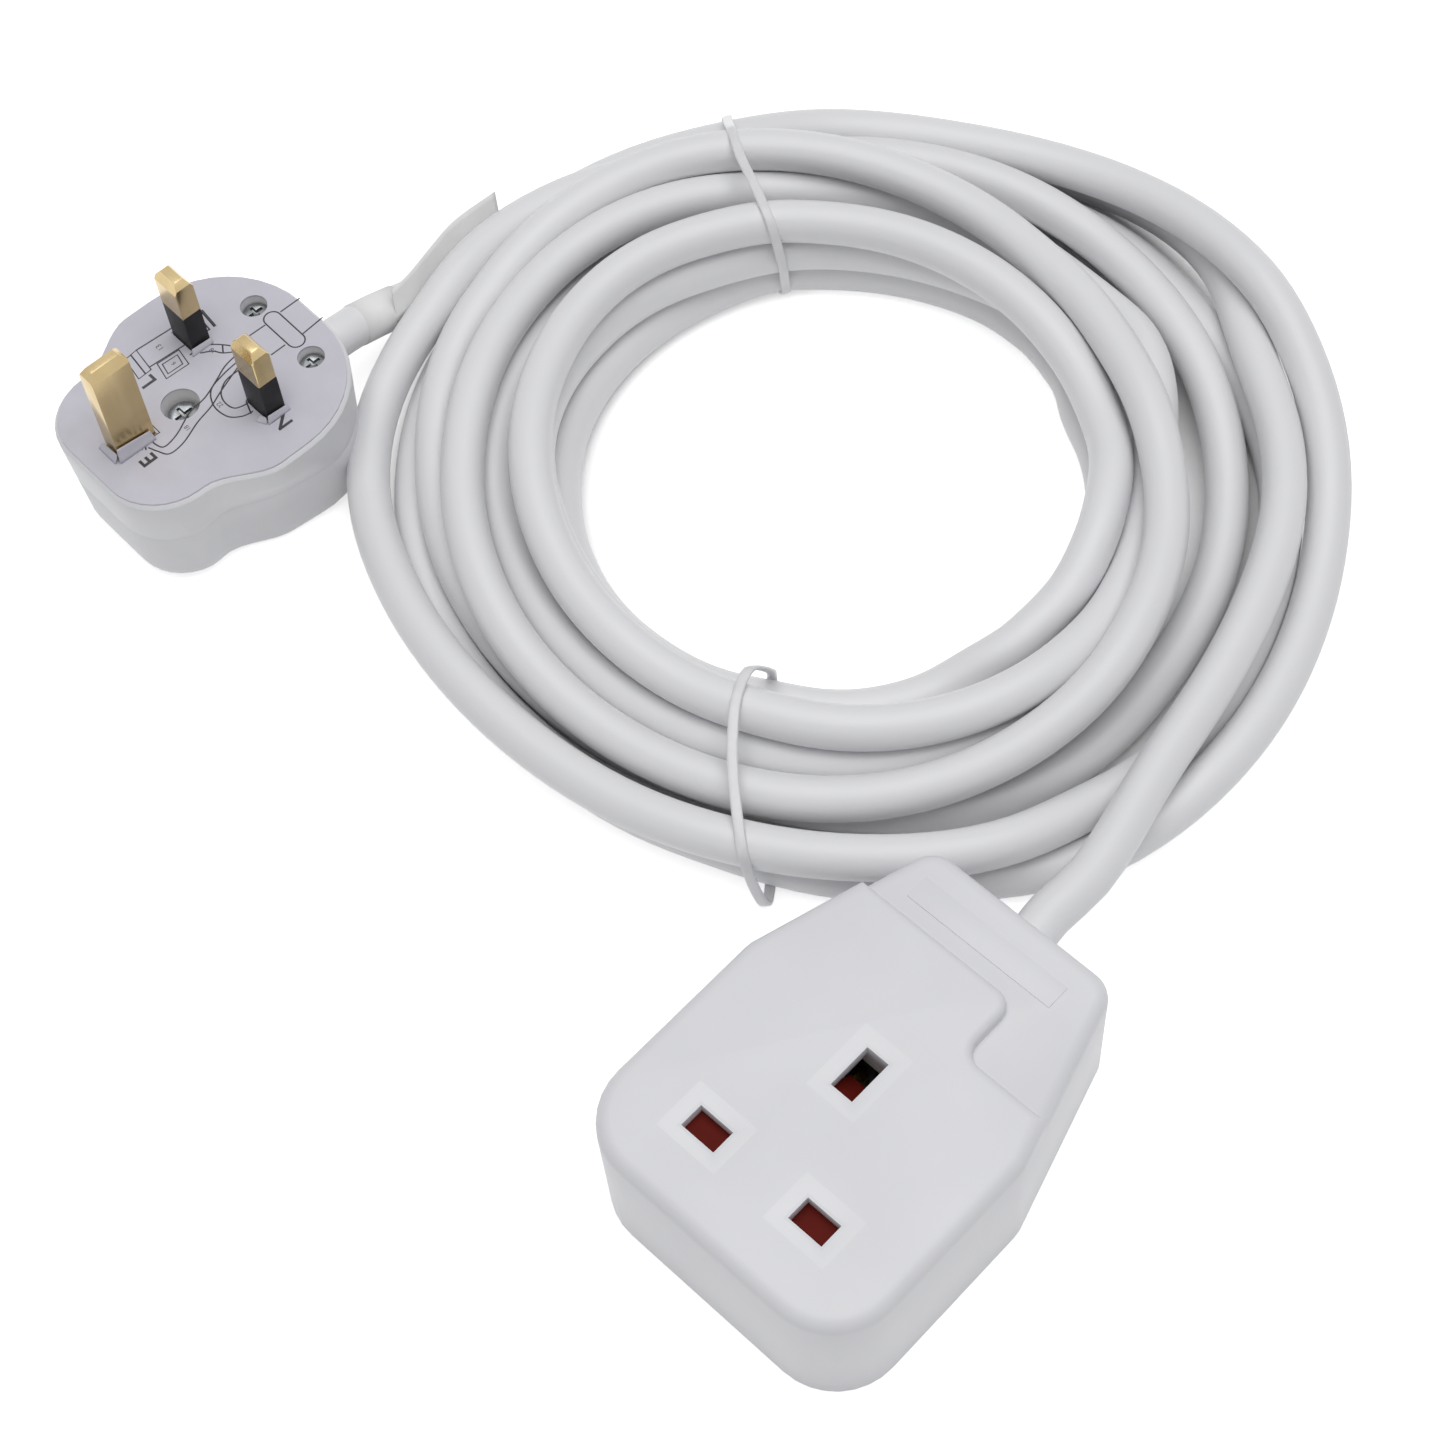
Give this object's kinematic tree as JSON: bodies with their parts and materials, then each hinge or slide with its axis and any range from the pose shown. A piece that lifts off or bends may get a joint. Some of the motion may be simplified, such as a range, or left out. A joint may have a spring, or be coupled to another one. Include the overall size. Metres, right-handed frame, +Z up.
{
  "type": "extension cord",
  "caption": "Mains extension cord: a shuttered trailing socket, a tied flat coil of round flex and a fused rewireable plug lying pins up.",
  "frame": {"origin": "centre of the socket's base, on the surface it lies on", "axes": "+Y along the socket towards its cable, +Z up out of the outlet face, +X across the socket"},
  "size_m": [0.2317, 0.222, 0.0477],
  "materials": {
    "housing_white": "satin moulded plastic",
    "plug_white": "satin moulded plastic",
    "flex_white": "smooth PVC sheath",
    "brass": "bright drawn brass",
    "zinc_screws": "zinc plated",
    "spring_steel": "bright wire",
    "sleeve_black": "moulded sleeve",
    "shutter_red": "moulded",
    "inner_plastic": "moulded",
    "core_brown": "PVC insulation",
    "core_blue": "PVC insulation",
    "core_green_yellow": "PVC insulation with two colours",
    "fuse_ceramic": "glazed ceramic",
    "fuse_cap_metal": "nickel plated",
    "card": "printed card",
    "tie_clear": "translucent nylon"
  },
  "bodies": {
    "cord_set": {"socket_cover": "housing_white", "socket_base_plate": "housing_white", "socket_housing_screws": "zinc_screws", "shutter_spring": "spring_steel", "shutter_carrier": "inner_plastic", "carrier_screws": "zinc_screws", "earth_contact": "brass", "live_contact": "brass", "neutral_contact": "brass", "socket_terminal_screws": "zinc_screws", "socket_cord_clamp": "inner_plastic", "socket_clamp_screws": "zinc_screws", "socket_core_brown": "core_brown", "socket_core_blue": "core_blue", "socket_core_green_yellow": "core_green_yellow", "plug_base": "plug_white", "plug_cover": "plug_white", "plug_cover_screw": "zinc_screws", "earth_pin": "brass", "live_pin": "brass", "neutral_pin": "brass", "live_pin_sleeve": "sleeve_black", "neutral_pin_sleeve": "sleeve_black", "fuse_body": "fuse_ceramic", "fuse_caps": "fuse_cap_metal", "pin_fuse_clip": "brass", "terminal_fuse_clip": "brass", "plug_terminal_screws": "zinc_screws", "cord_grip_bar": "inner_plastic", "cord_grip_screws": "zinc_screws", "plug_core_brown": "core_brown", "plug_core_blue": "core_blue", "plug_core_green_yellow": "core_green_yellow", "cord_socket_lead": "flex_white", "cord_coil": "flex_white", "cord_plug_lead": "flex_white", "cable_tie_front": "tie_clear", "cable_tie_rear": "tie_clear"},
    "shutter_slider": {"shutter": "shutter_red"},
    "card": {"wiring_card": "card"}
  },
  "joints": [
    {"name": "shutter_slide", "type": "slide", "parent": "cord_set", "child": "shutter_slider", "axis": [0, -1, 0], "range_m": [0, 0.0052], "stiffness_N_per_m": 200, "springref_m": -0.003, "deforming": ["shutter_spring"]},
    {"name": "card_pull", "type": "slide", "parent": "cord_set", "child": "card", "axis": [0, 0, 1], "range_m": [0, 0.024]}
  ]
}
